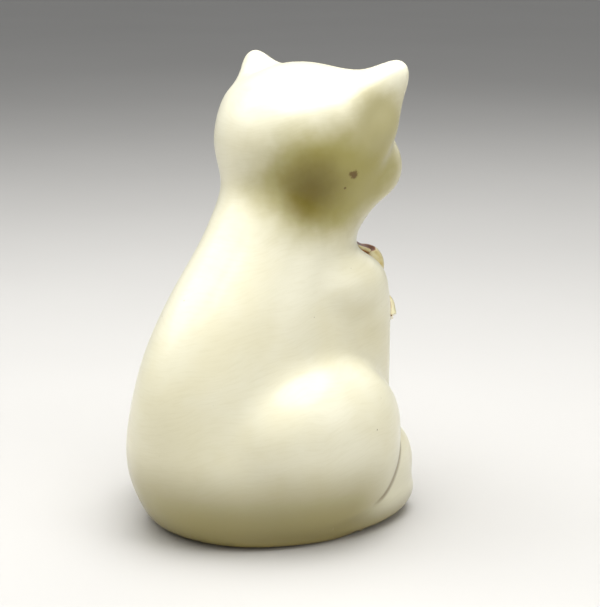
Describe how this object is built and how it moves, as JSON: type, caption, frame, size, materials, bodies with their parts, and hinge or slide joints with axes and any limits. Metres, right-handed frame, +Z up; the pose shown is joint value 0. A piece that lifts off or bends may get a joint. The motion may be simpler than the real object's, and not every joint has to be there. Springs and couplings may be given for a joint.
{
  "type": "cat figurine",
  "caption": "Sitting cat figurine in cream glazed ceramic: smooth rounded body, turned-out ears, large haunches and feet, and a moulded bow at the throat; stands on a bare foot ring.",
  "frame": {"origin": "middle of the base, on the table plane", "axes": "+Z up; the cat faces -Y; its left side is +X"},
  "size_m": [0.1251, 0.1366, 0.1962],
  "materials": {
    "cream_glaze": "semi-gloss cream glaze with faint brush streaks and olive-brown pooling",
    "bow_glaze": "yellowish cream glaze, dark brown and amber inside the loops",
    "eye_glaze": "glossy amber-brown glaze",
    "nose_glaze": "glossy dark brown glaze"
  },
  "bodies": {
    "root": {"body_casting": "cream_glaze", "head_casting": "cream_glaze", "left_ear": "cream_glaze", "right_ear": "cream_glaze", "left_foreleg": "cream_glaze", "right_foreleg": "cream_glaze", "left_hind_foot": "cream_glaze", "right_hind_foot": "cream_glaze", "tail": "cream_glaze", "bow_left_loop": "bow_glaze", "bow_right_loop": "bow_glaze", "bow_knot": "bow_glaze", "bow_left_tail": "bow_glaze", "bow_right_tail": "bow_glaze", "left_eye": "eye_glaze", "right_eye": "eye_glaze", "nose": "nose_glaze"}
  },
  "joints": []
}
